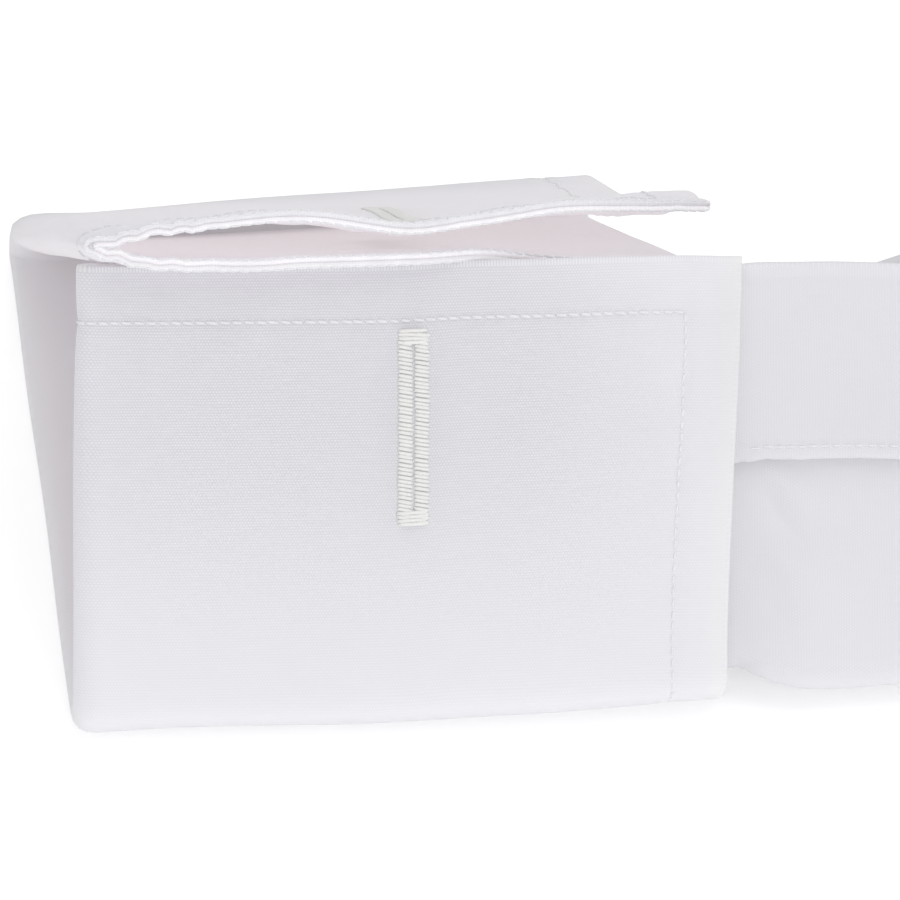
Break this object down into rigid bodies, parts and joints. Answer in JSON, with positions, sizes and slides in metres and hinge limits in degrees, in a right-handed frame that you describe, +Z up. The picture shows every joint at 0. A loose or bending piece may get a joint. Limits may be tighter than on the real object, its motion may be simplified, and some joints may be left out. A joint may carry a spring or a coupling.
{
  "type": "long sleeve dress shirt",
  "caption": "Long sleeve dress shirt with double cuffs, turn-down collar and button front, buttoned and laid on its back with both cuffs standing open.",
  "frame": {"origin": "middle of the shirt's plan, on the surface that it lies on", "axes": "+X towards the wearer's left sleeve, +Y towards the collar, +Z up out of the chest"},
  "size_m": [1.4682, 0.8306, 0.0509],
  "materials": {
    "white_poplin": "fine plain-weave cotton, matt",
    "pearl_button": "polished, pearly white"
  },
  "bodies": {
    "root": {"back": "white_poplin", "button_1": "pearl_button", "button_2": "pearl_button", "button_3": "pearl_button", "button_4": "pearl_button", "button_5": "pearl_button", "button_6": "pearl_button", "collar_button": "pearl_button", "collar_leaf": "white_poplin", "collar_stand": "white_poplin", "front_placket": "white_poplin", "left_cuff": "white_poplin", "left_front": "white_poplin", "left_sleeve": "white_poplin", "left_sleeve_binding": "white_poplin", "left_sleeve_placket": "white_poplin", "right_cuff": "white_poplin", "right_front": "white_poplin", "right_sleeve": "white_poplin", "right_sleeve_binding": "white_poplin", "right_sleeve_placket": "white_poplin", "yoke": "white_poplin"}
  },
  "joints": []
}
